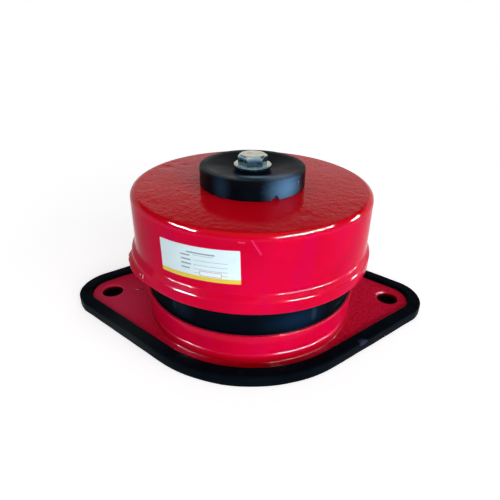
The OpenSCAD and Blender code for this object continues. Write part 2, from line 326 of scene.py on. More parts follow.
def redEnamel(name, level, toneSpots, foot=None, seed=0, rough=enamel["rough"], gloss=enamel["gloss"], grain=0):
    e = enamel
    material, tree, shader = newMaterial(name, {"Specular IOR Level": gloss, "IOR": e["ior"]})
    colour = mixColour(tree, placeGroup(tree, mottle, e["patches"]), e["deep"], e["fresh"])
    sags = placeGroup(tree, scuffs, e["sags"] | {"Seed": seed + e["sagSeed"]})
    colour = tint(tree, colour, e["streak"], sags, e["sagShare"])
    if foot:  # painted shade in the corner over the flange, darker towards the bottom
        colour = tint(tree, colour, e["thick"], placeGroup(tree, heightBand, foot["band"]), foot["amount"])
    if grain:  # sand grain under the enamel of level faces
        level = tint(tree, level, e["thick"], placeGroup(tree, mottle, e["sand"]), grain)
    # level faces take their own colour: painted light, standing in for how level faces and walls are lit differently
    colour = mixColour(tree, placeGroup(tree, upward, e["level"]), colour, level)
    # each tone spot is a primer chip, a painted highlight on a paint run, or a patch of painted shade or reflection
    for centre, reach, tone, rag in toneSpots:
        toneSpotMask = placeGroup(tree, spot, (centre, reach, rag, e["toneSpotScale"], e["toneSpotCore"] * rag))
        colour = mixColour(tree, toneSpotMask, colour, e[tone])
    skin = placeGroup(tree, castRipple, e["skin"] | {"Seed": seed})
    flatPart = times(tree, placeGroup(tree, upward, e["flat"]), 1 - e["wallShare"])
    share = mathNode(tree, "ADD", flatPart, e["wallShare"])  # walls and edges are smoother
    height = times(tree, skin, share)
    setSurface(tree, shader, colour, placeGroup(tree, mottle, e["film"]), rough, height, e["ripple"])
    return material


# black rubber: each smear and each patch of painted sheen is (centre, reach, core, amount, tone) in metres
rubber = {
    "black": (0.0008, 0.0022, 0.0048), "worn": (0.002, 0.0044, 0.0082), "smearAndSheen": (0.03, 0.042, 0.06),
    "patches": {"Scale": 45, "Low": 0.38, "High": 0.68, "Detail": 5},
    "rubs": {"Stretch": (60, 60, 700), "Low": 0.6, "High": 0.78}, "rubShare": 0.1,
    "skin": {"Wave": 220, "Peel": 1800, "Peel Share": 0.3},
    "smearSheenScale": 500, "smearSheenRag": (0.5, 0.15), "ior": 1.5, "gloss": 0.011}


def blackRubber(name, rough, grain, smearsAndSheens, gloss=rubber["gloss"], seed=0):
    u = rubber
    material, tree, shader = newMaterial(name, {"Specular IOR Level": gloss, "IOR": u["ior"]})
    patches = placeGroup(tree, mottle, u["patches"])
    colour = mixColour(tree, patches, u["black"], u["worn"])
    rubs = placeGroup(tree, scuffs, u["rubs"] | {"Seed": seed})
    colour = tint(tree, colour, u["smearAndSheen"], rubs, u["rubShare"])
    for centre, reach, core, amount, tone in smearsAndSheens:
        rag = u["smearSheenRag"][0] * core + u["smearSheenRag"][1]
        smearAndSheen = placeGroup(tree, spot, (centre, reach, rag, u["smearSheenScale"], core))
        colour = tint(tree, colour, tone, smearAndSheen, amount)
    skin = placeGroup(tree, castRipple, u["skin"] | {"Seed": seed})
    setSurface(tree, shader, colour, patches, rough, skin, grain)
    return material


plating = {
    "blue": (0.2, 0.42, 0.62), "warm": (0.62, 0.62, 0.49), "dull": (0.36, 0.42, 0.43), "rub": (0.42, 0.45, 0.47),
    "patches": {"Scale": 320, "Low": 0.3, "High": 0.7, "Detail": 4}, "dullShare": 0.35,
    "rubs": {"Stretch": (300, 900, 300), "Low": 0.55, "High": 0.75, "Seed": 3}, "rubShare": 0.3,
    "skin": {"Wave": 420, "Peel": 2200, "Peel Share": 0.3, "Seed": 5}, "grain": 0.000012,
    "level": {"Low": 0.3, "High": 0.8}, "rough": (0.2, 0.32)}


def zincPlate():
    p = plating
    material, tree, shader = newMaterial("zincPlate", {"Metallic": 1})
    patches = placeGroup(tree, mottle, p["patches"])
    # upright faces blue and level faces warm grey: painted reflection, standing in for the light each face mirrors
    colour = mixColour(tree, placeGroup(tree, upward, p["level"]), p["blue"], p["warm"])
    colour = tint(tree, colour, p["dull"], patches, p["dullShare"])
    colour = tint(tree, colour, p["rub"], placeGroup(tree, scuffs, p["rubs"]), p["rubShare"])
    setSurface(tree, shader, colour, patches, p["rough"], placeGroup(tree, castRipple, p["skin"]), p["grain"])
    return material


steel = {
    "dark": (0.07, 0.075, 0.085), "bare": (0.17, 0.17, 0.18), "metallic": 0.9, "rough": (0.32, 0.5),
    "patches": {"Scale": 120, "Low": 0.35, "High": 0.65, "Detail": 5},
    "skin": {"Wave": 500, "Peel": 2500, "Peel Share": 0.4, "Seed": 7}, "grain": 0.00005}


def springSteel():
    s = steel
    material, tree, shader = newMaterial("springSteel", {"Metallic": s["metallic"]})
    patches = placeGroup(tree, mottle, s["patches"])
    colour = mixColour(tree, patches, s["dark"], s["bare"])
    setSurface(tree, shader, colour, patches, s["rough"], placeGroup(tree, castRipple, s["skin"]), s["grain"])
    return material


# label film: fields as shares of its width and height; bars and rules are (left, right, bottom)
film = {
    "paper": ((0.68, 0.88, 0.98), (0.78, 0.96, 1)),
    "band": (0.78, 0.62, 0.07), "bandField": (-0.1, 1.1, -0.1, 0.13),
    "rules": [(0.46, 0.7, 0.74), (0.46, 0.86, 0.59), (0.46, 0.86, 0.455), (0.46, 0.86, 0.325),
              (0.46, 0.53, 0.205), (0.79, 0.86, 0.205)], "rule": (0.3, 0.36, 0.42), "ruleH": 0.012,
    "bars": [(0.38, 0.72, 0.79), (0.3, 0.42, 0.69), (0.3, 0.43, 0.56), (0.3, 0.43, 0.43), (0.3, 0.41, 0.3)],
    "bar": (0.27, 0.34, 0.42), "barH": 0.042,
    "frame": (0.53, 0.79, 0.147, 0.3), "frameEdge": (0.006, 0.0144), "frameInk": (0.6, 0.16, 0.26),
    "patches": {"Scale": 55, "Low": 0.3, "High": 0.7, "Detail": 3}, "rough": (0.3, 0.45), "gloss": 0.35,
    "skin": {"Wave": 160, "Peel": 1200, "Peel Share": 0.1, "Seed": 9}, "grain": 0.00006}


def labelFilm():
    f = film
    material, tree, shader = newMaterial("labelFilm", {"Specular IOR Level": f["gloss"]})
    patches = placeGroup(tree, mottle, f["patches"])
    colour = mixColour(tree, patches, *f["paper"])
    fields = [(f["bandField"], f["band"])]
    for marks, ink, high in (("rules", "rule", "ruleH"), ("bars", "bar", "barH")):
        fields += [((left, right, low, low + f[high]), f[ink]) for left, right, low in f[marks]]
    left, right, low, high = f["frame"]
    edgeX, edgeZ = f["frameEdge"]
    fields += [(f["frame"], f["frameInk"]),
               ((left + edgeX, right - edgeX, low + edgeZ, high - edgeZ), f["paper"][1])]
    for sides, ink in fields:
        colour = mixColour(tree, placeGroup(tree, printField, sides), colour, ink)
    setSurface(tree, shader, colour, patches, f["rough"], placeGroup(tree, castRipple, f["skin"]), f["grain"])
    return material


print("materials ready")

# flange outline, seen from above: middle arc, two end arcs and the straight sides between them
outline = {"midR": 80.7, "endR": 17.7, "endX": 101.8, "midStep": 2, "endStep": 4, "sideStep": 3}


def outlineStations():  # (centre x, radius, normal angle); the offset of each loop is added to the radius
    o = outline
    lean = degrees(acos((o["midR"] - o["endR"]) / o["endX"]))
    arcs = [(o["endX"], o["endR"], -lean, lean, o["endStep"]),
            (0, o["midR"], lean, 180 - lean, o["midStep"]),
            (-o["endX"], o["endR"], 180 - lean, 180 + lean, o["endStep"]),
            (0, o["midR"], 180 + lean, 360 - lean, o["midStep"])]
    sideCount = round(o["endX"] * sin(radians(lean)) / o["sideStep"])
    stations = []
    for (cx, radius, startDeg, endDeg, step), (nextX, nextR, *_) in zip(arcs, arcs[1:] + arcs[:1]):
        n = ceil((endDeg - startDeg) / step)
        stations += [(cx, radius, startDeg + (endDeg - startDeg) * i / n) for i in range(n + 1)]
        for i in range(1, sideCount):
            t = i / sideCount
            stations.append((cx + (nextX - cx) * t, radius + (nextR - radius) * t, endDeg))
    return stations


def sweepOutline(bm, profile, shift=None):  # profile points are (offset from the outline, height)
    stations = outlineStations()
    rings = []
    for off, z in profile:
        ring = []
        for cx, radius, normalDeg in stations:
            a = radians(normalDeg)
            dr, dz = shift(cx, a, off, z) if shift else (0, 0)
            x, y = polar(radius + off + dr, a)
            ring.append(addVert(bm, cx + x, y, z + dz))
        rings.append(ring)
    bridgeAll(bm, rings)
    return rings


hair = 0.05  # narrow flat strip that keeps the shading of a flat face flat

# rubber tray under the flange
tray = {
    "floor": 2, "top": 7.7, "gap": 0.1, "rimW": 8.9, "rimStep": 1.3, "edgeR": 1.2, "edgeFoot": 1, "footR": 0.5,
    "sideZ": (4.5, 2), "lap": 2, "holeX": 105, "holeR": 8, "holeStep": 6,
    "sag": {"midR": 90, "size": 0.045, "up": 0.22, "upFrom": (3, 7), "out": 0.3, "outFrom": (1, 5),
            "apart": (7, 3, 1)},
    "rough": (0.36, 0.52), "grain": 0.00006,
    "smearsAndSheens": [((0.0755, -0.0545, 0.0066), (0.0055, 0.004, 0.0022), 0.5, 0.7, (0.035, 0.04, 0.09)),
               # the patch below is painted reflection, lightening the left end of the tray; the one above is a scuff
               ((-0.085, -0.05, 0.004), (0.06, 0.04, 0.012), 0, 0.6, (0.018, 0.027, 0.03))]}


def traySag(cx, a, off, z):  # moulded rubber, never quite even
    s = tray["sag"]
    x, y = polar(s["midR"], a)
    p = Vector((cx + x, y, z)) * s["size"]
    up = noise.noise(p) * s["up"] * smoothStep(*s["upFrom"], z)
    return (noise.noise(p + Vector(s["apart"])) * s["out"] * smoothStep(*s["outFrom"], off), up)


def makeTray():
    t = tray
    bm = bmesh.new()
    inner, outer = t["gap"], t["gap"] + t["rimW"]
    floor, top, r, footR = t["floor"], t["top"], t["edgeR"], t["footR"]
    profile = [(inner - t["lap"], floor), (inner - hair, floor), (inner, floor + hair)]
    profile += [(inner, top - r - t["edgeFoot"])]
    profile += arc(inner + r, top - r, r, 180, 90)
    profile += between((inner + r, top), (outer - r, top), t["rimStep"])
    profile += arc(outer - r, top - r, r, 90, 0, 7)
    profile += [(outer, z) for z in t["sideZ"]]
    profile += arc(outer - footR, footR, footR, 0, -90, 3)
    profile += [(outer - 2 * footR, 0)]
    rings = sweepOutline(bm, profile, traySag)
    holeSides = [(t["holeR"], floor), (t["holeR"], 0)]
    holes = holePair(bm, holeSides, t["holeStep"], t["holeX"])
    fillBetween(bm, 0, rings, *holes)
    fillBetween(bm, -1, rings, *holes)
    material = blackRubber("trayRubber", t["rough"], t["grain"], t["smearsAndSheens"])
    makePiece(bm, "rubberTray", material, "base", "base_pad")


makeTray()
print("tray made")

# cast base: flange, cup and the ring that centres the springs
casting = {
    "under": 2, "top": 5.5, "edgeR": 0.8, "chamfer": 0.4, "holeX": 105, "holeR": 7.5, "mouthR": 1.2, "holeStep": 5,
    "cupR": 74.5, "boreR": 69.5, "rim": 25, "rimR": 0.35, "footR": 0.6, "floor": 8, "wallStep": 1.6,
    "angleStep": 2, "stepZ": 11.6, "step": 0.9, "stepArc": (38, 60),
    "ringR": (40.6, 46.4), "ringTop": 13, "ringEdge": 0.5,
    "wave": 0.14, "waveSize": 0.05, "waveFrom": (0.5, 5), "waveIn": 1,
    # level is the colour of level faces: painted reflection, greyer than the walls' red
    "seed": 1.3, "rough": (0.04, 0.1), "grain": 0.55, "level": (0.66, 0.009, 0.05),
    # foot darkens the cup's wall towards the flange: painted shade
    "foot": {"band": {"Low": 0.0064, "High": 0.0125}, "amount": 0.92},
    # painted shade on the front strip of the flange
    "paintedLightSpots": [((0.014, -0.08, 0.0055), (0.078, 0.021, 0.006), "thick", 0.1),
               # painted reflection, paler on the flange's left end
               ((-0.1, -0.016, 0.0055), (0.055, 0.05, 0.004), "haze", 0.1),
               # painted shadow round the cast bead
               ((-0.0852, 0.0022, 0.0056), (0.005, 0.0014, 0.0012), "thick", 0.7),
               # painted shade on the walls of the fixing holes
               ((-0.105, 0, 0.002), (0.02, 0.02, 0.003), "hollow", 0.8),
               ((0.105, 0, 0.002), (0.02, 0.02, 0.003), "hollow", 0.8)]}


def cupShift(a, r, z):
    c = casting
    dr = 0
    if r > c["boreR"] + c["waveIn"]:
        skin = noise.noise(Vector((*polar(r, a), z)) * c["waveSize"]) * c["wave"]
        dr = skin * smoothStep(c["top"] + c["waveFrom"][0], c["top"] + c["waveFrom"][1], z)
    if z < c["stepZ"] and r > c["cupR"]:  # the step runs out towards the sides
        dr -= min(r - c["cupR"], c["step"]) * smoothStep(*c["stepArc"], abs(turnFromFront(a)))
    return (dr, 0)


def makeCasting():
    c = casting
    bm = bmesh.new()
    top, edgeR, chamfer, cupR, bore, rim = [c[k] for k in ("top", "edgeR", "chamfer", "cupR", "boreR", "rim")]
    edge = [(-edgeR - hair, top)] + arc(-edgeR, top - edgeR, edgeR, 90, 0, 7)
    edge += [(0, c["under"] + chamfer), (-chamfer, c["under"])]
    rings = sweepOutline(bm, edge)
    foot = cupR + c["step"] + c["footR"]
    cup = [(foot + hair, top)] + arc(foot, top + c["footR"], c["footR"], 270, 180, 10)
    cup += arc(cupR, c["stepZ"] - c["step"], c["step"], 0, 90)[:-1]
    cup += between((cupR, c["stepZ"]), (cupR, rim - c["rimR"]), c["wallStep"])
    cup += arc(cupR - c["rimR"], rim - c["rimR"], c["rimR"], 0, 90)
    cup += [(bore + chamfer, rim), (bore, rim - chamfer), (bore, c["floor"])]
    (ringIn, ringOut), ringTop, e = c["ringR"], c["ringTop"], c["ringEdge"]
    cup += [(ringOut, c["floor"]), (ringOut, ringTop - e), (ringOut - e, ringTop),
            (ringIn + e, ringTop), (ringIn, ringTop - e), (ringIn, c["floor"]), (0, c["floor"])]
    cupRings = turn(bm, cup, stationAngles(c["angleStep"]), shift=cupShift)
    mouthTop = c["holeR"] + c["mouthR"]
    mouth = [(mouthTop + hair, top)] + arc(mouthTop, top - c["mouthR"], c["mouthR"], 90, 180, 7)
    mouth += [(c["holeR"], c["under"])]
    holes = holePair(bm, mouth, c["holeStep"], c["holeX"])
    fillBetween(bm, 0, rings, cupRings, *holes)
    fillBetween(bm, -1, rings, *holes)
    material = redEnamel("baseEnamel", c["level"], c["paintedLightSpots"], c["foot"], c["seed"], c["rough"], grain=c["grain"])
    makePiece(bm, "castBase", material, "base", "base_casting")


makeCasting()
print("cast base made")

# damping sleeve between cup and cap
sleeve = {
    "boreR": 66, "wallR": 71.6, "shoulderR": 72.9, "plugR": 69.45, "foot": 8, "rim": 25, "shoulderT": 1,
    "flareR": 1.3, "top": 65, "edgeR": 1.5, "wallStep": 3, "angleStep": 2.5,
    "rough": (0.4, 0.6), "grain": 0.00008, "seed": 2,
    # the first two patches are painted sheen, navy on the wall right and left of the front; the last two are scuffs
    "smearsAndSheens": [((0.0303, -0.0649, 0.032), (0.03, 0.022, 0.012), 0, 0.8, (0.004, 0.02, 0.05)),
               ((-0.042, -0.058, 0.034), (0.014, 0.012, 0.01), 0, 0.7, (0.006, 0.016, 0.034)),
               ((0.0404, -0.059, 0.033), (0.0028, 0.004, 0.0075), 0.2, 0.55, (0.02, 0.05, 0.095)),
               ((-0.0465, -0.0544, 0.0335), (0.0022, 0.004, 0.005), 0.1, 0.5, (0.02, 0.035, 0.06))]}


def makeSleeve():
    s = sleeve
    bm = bmesh.new()
    wall, shoulderTop = s["wallR"], s["rim"] + s["shoulderT"]
    flareTop, wallTop = shoulderTop + s["flareR"], s["top"] - s["edgeR"]
    profile = [(s["boreR"], s["foot"]), (s["plugR"], s["foot"]), (s["plugR"], s["rim"])]
    profile += [(s["shoulderR"], s["rim"]), (s["shoulderR"], shoulderTop)]
    profile += arc(wall + s["flareR"], flareTop, s["flareR"], 270, 180)
    profile += between((wall, flareTop), (wall, wallTop), s["wallStep"])
    profile += arc(wall - s["edgeR"], wallTop, s["edgeR"], 0, 90, 5)
    profile += [(s["boreR"], s["top"])]
    turn(bm, profile, stationAngles(s["angleStep"]), closed=True)
    material = blackRubber("sleeveRubber", s["rough"], s["grain"], s["smearsAndSheens"], seed=s["seed"])
    makePiece(bm, "rubberSleeve", material, "base", "damping_sleeve")


makeSleeve()
print("sleeve made")

# two nested springs with closed, ground ends
springs = {
    "foot": 8, "length": 80.2, "endGap": 0.3, "travel": 20, "turnSteps": 64, "wireSides": 20,
    "outer": {"coilR": 52.5, "wire": 11, "turns": 5, "hand": 1},
    "inner": {"coilR": 36, "wire": 8, "turns": 6, "hand": -1}}


def makeSpring(which, node, material):
    s = springs[which]
    wireR, turns, length = s["wire"] / 2, s["turns"], springs["length"]
    steps, sides = turns * springs["turnSteps"], springs["wireSides"]
    rise = s["wire"] + springs["endGap"]
    bm = bmesh.new()
    rings = []
    for i in range(steps + 1):
        t = turns * i / steps
        if t < 1:
            z = rise * t
        elif t > turns - 1:
            z = length - rise * (turns - t)
        else:
            z = rise + (length - 2 * rise) * (t - 1) / (turns - 2)
        a = 2 * pi * t * s["hand"]
        ring = []
        for j in range(sides):
            out, up = polar(wireR, 2 * pi * j / sides)
            ground = min(max(z + up, 0), length)
            ring.append(addVert(bm, *polar(s["coilR"] + out, a), springs["foot"] + ground))
        rings.append(ring)
    tube(bm, rings)
    piece = makePiece(bm, which + "Spring", material, "base", node)
    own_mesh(piece)


springMaterial = springSteel()
makeSpring("outer", "outer_spring", springMaterial)
makeSpring("inner", "inner_spring", springMaterial)
print("springs made")

# cast cap with the band round its mouth and the stub of the casting gate; fineZones and gate are in degrees from +X,
# stepZones and runs in degrees from the front
cap = {
    "top": 95.2, "wallR": 79.9, "edgeR": 4, "edgeSteps": 14, "mouth": 46.7, "bandR": 82.4, "footR": 1.4,
    "mouthR": 75.7, "mouthEdge": 0.5, "lip": 52, "boreR": 71.9, "boreEdge": 0.4, "ceiling": 88.2,
    "ringR": (40.6, 46.4), "ringH": 5, "bossR": 13.05, "bossH": 13, "tappedR": 5.05,
    "bandSteps": (59.5, 55.8), "stepR": (0.6, 0.72), "stepOut": 0.7, "stepZones": [(-31, 9), (34, 27)], "stepFade": 5,
    "swell": (60.2, 54.2), "swellIn": 0.1, "topStep": 2.2, "wallStep": 1, "footStep": 0.7,
    "angleStep": 1.5, "fineZones": [(210, 22, 0.5), (273, 7, 0.35)],
    "wave": 0.16, "waveSize": 0.05, "waveFrom": (0.5, 2),
    "topSkin": [(0, 0.035, 0.12), (40, 0.15, 0.045)], "skinFrom": (34, 38), "skinTo": (1, 6), "topIn": 1,
    "gate": {"start": (191, 193), "end": (206, 229), "out": 3, "z": (43, 47.6, 53.4),
             "broken": (0.95, 0.14), "brokenSize": 0.25, "inR": 3},
    "dents": [((-62, 28), 5, 0.35), ((-50, 34), 4, 0.25), ((-58, 40), 3.5, 0.25), ((30, -52), 7, 0.15)],
    "dentFall": 0.5,
    "runs": [((0.9, 92.2), (4.3, 84.6), 0.9, 0.4), ((-4.2, 91.2), (-1.9, 91), 0.7, 0.25)],
    "runSwell": (0.6, 0.4), "runFall": 2, "runIn": 3,
    # gleam spots paint a highlight along each paint run; level is the colour of level faces, painted light, less blue
    # than the walls
    "gleam": {"spots": 9, "across": 0.6, "deep": 2, "along": 0.9, "rag": 0.6}, "level": (0.66, 0.001, 0.01),
    "toneSpots": [((-0.0689, -0.0462, 0.0475), (0.001, 0.001, 0.0008), "primer", 0.7),
              ((-0.0652, -0.051, 0.0478), (0.0011, 0.001, 0.0009), "primer", 0.7),
              ((-0.0678, -0.048, 0.05), (0.0005, 0.0006, 0.0012), "primer", 0.7),
              ((-0.0655, -0.0505, 0.05), (0.0005, 0.0012, 0.0022), "primer", 0.7)]}


def runGleams():  # painted highlight along the ridge of each paint run
    g = cap["gleam"]
    gleams = []
    for start, end, width, _ in cap["runs"]:
        reach = (g["across"] * width * mm, g["deep"] * mm, g["along"] * width * mm)
        for i in range(g["spots"]):
            deg, z = [s + (e - s) * i / (g["spots"] - 1) for s, e in zip(start, end)]
            x, y = cap["wallR"] * sin(radians(deg)), -cap["wallR"] * cos(radians(deg))
            gleams.append(((x * mm, y * mm, z * mm), reach, "gleam", g["rag"]))
    return gleams


def gateLift(x, y, z, a):  # the stub of the casting gate, with its broken edge
    gate = cap["gate"]
    low, mid, high = gate["z"]
    deg = degrees(a) % 360
    if z >= high or not gate["start"][0] < deg < gate["end"][1]:
        return 0
    lift = smoothStep(low, mid, z) if z < mid else 1 - smoothStep(mid, high, z)
    even, uneven = gate["broken"]
    broken = even + uneven * noise.noise(Vector((x, y, z)) * gate["brokenSize"])
    return gate["out"] * broken * lift * smoothStep(*gate["start"], deg) * (1 - smoothStep(*gate["end"], deg))


def topDrop(x, y, r):  # dents and casting skin of the flat top
    c = cap
    dz = 0
    for (px, py), size, deep in c["dents"]:
        dz -= deep * exp(-((x - px) ** 2 + (y - py) ** 2) / (c["dentFall"] * size ** 2))
    skin = sum(noise.noise(Vector((x, y, layer)) * size) * reach for layer, size, reach in c["topSkin"])
    near, far = c["skinTo"]
    return dz + skin * smoothStep(*c["skinFrom"], r) * smoothStep(c["wallR"] - near, c["wallR"] - far, r)


def runHeight(a, z):  # paint runs, as round ridges along a line on the wall
    wall, (thin, more) = cap["wallR"], cap["runSwell"]
    here = Vector((radians(turnFromFront(a)) * wall, z))
    height = 0
    for start, end, width, high in cap["runs"]:
        p0, p1 = [Vector((radians(deg) * wall, runZ)) for deg, runZ in (start, end)]
        d = p1 - p0
        t = min(max((here - p0).dot(d) / d.length_squared, 0), 1)
        gap = (here - p0 - d * t).length
        height += high * (thin + more * t) * exp(-(gap / width) ** 2 * cap["runFall"])
    return height


def capShift(a, r, z):
    c = cap
    x, y = polar(r, a)
    skin = noise.noise(Vector((x, y, z)) * c["waveSize"]) * c["wave"]
    dr = skin * smoothStep(c["mouthR"] + c["waveFrom"][0], c["mouthR"] + c["waveFrom"][1], r)
    if c["swell"][1] < z < c["swell"][0] and r > c["wallR"] - c["swellIn"]:
        front = turnFromFront(a)  # away from its steps the band swells out smoothly
        stepped = max(1 - smoothStep(half, half + c["stepFade"], abs(front - mid)) for mid, half in c["stepZones"])
        swollen = c["wallR"] + (c["bandR"] - c["wallR"]) * smoothStep(*c["swell"], z)
        dr += (swollen - r) * (1 - stepped)
    if r > c["mouthR"] + c["gate"]["inR"]:
        dr += gateLift(x, y, z, a)
    if r > c["wallR"] - c["runIn"]:
        dr += runHeight(a, z)
    return (dr, topDrop(x, y, r) if z > c["top"] - c["topIn"] else 0)


def makeCap():
    c = cap
    top, wall, edgeR, stepOut = c["top"], c["wallR"], c["edgeR"], c["stepOut"]
    profile = [(c["tappedR"], top)] + between((c["tappedR"], top), (wall - edgeR, top), c["topStep"])
    profile += arc(wall - edgeR, top - edgeR, edgeR, 90, 0, c["edgeSteps"])
    r, z = wall, top - edgeR
    for stepFoot, stepZ, stepR in zip((wall, c["bandR"] - stepOut), c["bandSteps"], c["stepR"]):
        meet = degrees(acos(1 - stepOut / (2 * stepR)))  # each step is a small hollow and a small round edge
        profile += between((r, z), (stepFoot, stepZ), c["wallStep"])
        profile += arc(stepFoot + stepR, stepZ, stepR, 180, 180 + meet)
        r, z = stepFoot + stepOut, stepZ - 2 * stepR * sin(radians(meet))
        profile += arc(r - stepR, z, stepR, meet, 0)[1:]
    footZ = c["mouth"] + c["footR"]
    profile += between((r, z), (r, footZ), c["footStep"])
    profile += arc(c["bandR"] - c["footR"], footZ, c["footR"], 0, -90)
    mouthR, bore, lip, ceiling, (ringIn, ringOut) = c["mouthR"], c["boreR"], c["lip"], c["ceiling"], c["ringR"]
    profile += [(mouthR + c["mouthEdge"], c["mouth"]), (mouthR, c["mouth"] + c["mouthEdge"]), (mouthR, lip),
                (bore + c["boreEdge"], lip), (bore, lip + c["boreEdge"]), (bore, ceiling)]
    ringZ, bossZ = ceiling - c["ringH"], ceiling - c["bossH"]
    profile += [(ringOut, ceiling), (ringOut, ringZ), (ringIn, ringZ), (ringIn, ceiling)]
    profile += [(c["bossR"], ceiling), (c["bossR"], bossZ), (c["tappedR"], bossZ)]
    bm = bmesh.new()
    turn(bm, profile, stationAngles(c["angleStep"], c["fineZones"]), shift=capShift, closed=True)
    toneSpots = c["toneSpots"] + runGleams()
    piece = makePiece(bm, "castCap", redEnamel("capEnamel", c["level"], toneSpots), "cap", "top_cap")
    piece.data.materials.append(redEnamel("capWallEnamel", c["level"], toneSpots, gloss=enamel["wallGloss"]))
    for face in piece.data.polygons:  # walls mirror less of the floor than the edges that carry the gleam lines
        front = turnFromFront(atan2(face.center.y, face.center.x))
        stepped = any(abs(front - mid) < half + c["stepFade"] for mid, half in c["stepZones"])
        onBand = face.center.z < c["swell"][0] * mm and not stepped
        face.material_index = int(onBand or abs(face.normal.z) < enamel["wallTilt"])


makeCap()
print("cap made")

# rubber pad with a dished top, gouges in its land and a nick in its lower edge
pad = {
    "foot": 95.2, "top": 107.8, "outR": 34.8, "holeR": 5.5, "edgeR": 0.8, "footEdge": 0.6, "sideStep": 0.8,
    "landW": 4, "landEdge": (0.5, 0.3), "landDrop": 0.02, "dish": 3, "dishStep": 1.5, "angleStep": 3,
    "seatDrop": 1.2, "seatR": 11.65, "seatFoot": (0.5, 0.4), "seatEdge": (0.3, 0.2),
    "nick": {"angle": -65, "wide": 6.1, "high": 3.4, "deep": 3.5, "peak": [(0.12, 1), (-0.1, 0.94)],
             "taper": (0.75, 1.06), "over": 1, "zone": (-63, 13, 1)},
    "gouges": [(26.4, 33.2), (31.5, 33.4), (36.4, 33)], "gougeDeep": 0.5, "gougeSize": (0.8, 0.9), "gougeIn": 0.1,
    "rough": (0.34, 0.5), "grain": 0.00006, "gloss": 0.04, "seed": 4,
    # painted light: the first two patches are bluish sheen on the side, right and left of the front; the third is a
    # painted reflection of the bolt on the dish
    "smearsAndSheens": [((0.0215, -0.0275, 0.1015), (0.02, 0.016, 0.016), 0, 0.9, (0.1, 0.24, 0.42)),
               ((-0.019, -0.0293, 0.1015), (0.0085, 0.012, 0.014), 0, 0.35, (0.03, 0.085, 0.16)),
               ((0.003, -0.0215, 0.1062), (0.015, 0.0066, 0.004), 0, 0.95, (0.2, 0.36, 0.5))]}


def gougeShift(a, r, z):
    deep = 0
    if z > pad["top"] - pad["gougeIn"]:
        acrossSize, alongSize = pad["gougeSize"]
        for deg, at in pad["gouges"]:
            across = radians(turnFromFront(a) - deg) * r
            deep += pad["gougeDeep"] * exp(-(across / acrossSize) ** 2 - ((r - at) / alongSize) ** 2)
    return (0, -deep)


def nickCutter():  # a small wedge, wider outside than inside
    n, foot = pad["nick"], pad["foot"]
    half, over = n["wide"] / 2, n["over"]
    shape = [(-half, foot - over), (half, foot - over), (half, foot)]
    shape += [(n["wide"] * s, foot + n["high"] * h) for s, h in n["peak"]] + [(-half, foot)]
    bm = bmesh.new()
    ends = [[addVert(bm, r, s * grow, z) for s, z in shape]
            for r, grow in zip((pad["outR"] - n["deep"], pad["outR"] + over), n["taper"])]
    tube(bm, ends)
    mesh = toMesh(bm, "nickCutter")
    mesh.transform(Matrix.Rotation(radians(n["angle"]), 4, "Z"))
    return addObject("nickCutter", mesh)


def makePad():
    p = pad
    bm = bmesh.new()
    foot, top, outR, edgeR, footEdge, seatR = [p[k] for k in ("foot", "top", "outR", "edgeR", "footEdge", "seatR")]
    landR, dishZ, seatZ = outR - p["landW"], top - p["dish"], top - p["seatDrop"]
    landOut, landIn = p["landEdge"]
    dishTop, dishFoot = (landR - landIn, top - p["landDrop"]), (seatR + p["seatFoot"][0], dishZ)
    profile = [(p["holeR"], foot), (outR - footEdge, foot), (outR, foot + footEdge)]
    profile += between((outR, foot + footEdge), (outR, top - edgeR), p["sideStep"])
    profile += arc(outR - edgeR, top - edgeR, edgeR, 0, 90, 5)
    profile += [(landR + landOut, top), dishTop] + between(dishTop, dishFoot, p["dishStep"]) + [dishFoot]
    profile += [(seatR, dishZ + p["seatFoot"][1]), (seatR, seatZ - p["seatEdge"][1])]
    profile += [(seatR - p["seatEdge"][0], seatZ), (p["holeR"], seatZ)]
    turn(bm, profile, stationAngles(p["angleStep"], [p["nick"]["zone"]]), shift=gougeShift, closed=True)
    material = blackRubber("padRubber", p["rough"], p["grain"], p["smearsAndSheens"], p["gloss"], p["seed"])
    piece = makePiece(bm, "rubberPad", material, "cap", "top_pad")
    cutter = nickCutter()
    cut = piece.modifiers.new("nick", "BOOLEAN")
    cut.object, cut.operation, cut.solver = cutter, "DIFFERENCE", "EXACT"
    evaluated = piece.evaluated_get(bpy.context.evaluated_depsgraph_get())
    cutMesh = bpy.data.meshes.new_from_object(evaluated)
    piece.modifiers.clear()
    piece.data = cutMesh
    piece.data.set_sharp_from_angle(angle=radians(sharpEdge))
    bpy.data.objects.remove(cutter)


makePad()
print("pad made")

# hex bolt and its washer; the crown's rings are (radius, drop)
bolt = {
    "head": 108.3, "hexH": 6.4, "flats": 17, "crownR": 8, "cornerR": 0.5, "chamferDeg": 30, "frontDeg": -80,
    "cornerSteps": 6, "flatSteps": 8, "sideEdge": (0.12, 0.25), "footEdge": 0.3, "tuck": (0.012, 0, 0, 0.006),
    "crown": [(8.15, 0.07), (7.85, 0.01), (7.4, 0), (4, 0.05)], "crownFit": 0.985, "crownDrop": 0.08,
    "shankR": 5, "length": 30, "neck": 8, "angleStep": 7.5, "point": 0.8,
    "pitch": 1.5, "threadStart": 8.5, "threadDeep": 0.45, "threadEnd": 10, "sharpDeg": 22}
washer = {"foot": 106.6, "top": 108.3, "outR": 12.35, "holeR": 5.5, "edgeR": 0.4, "footEdge": 0.2, "land": 1.2,
          "angleStep": 4}


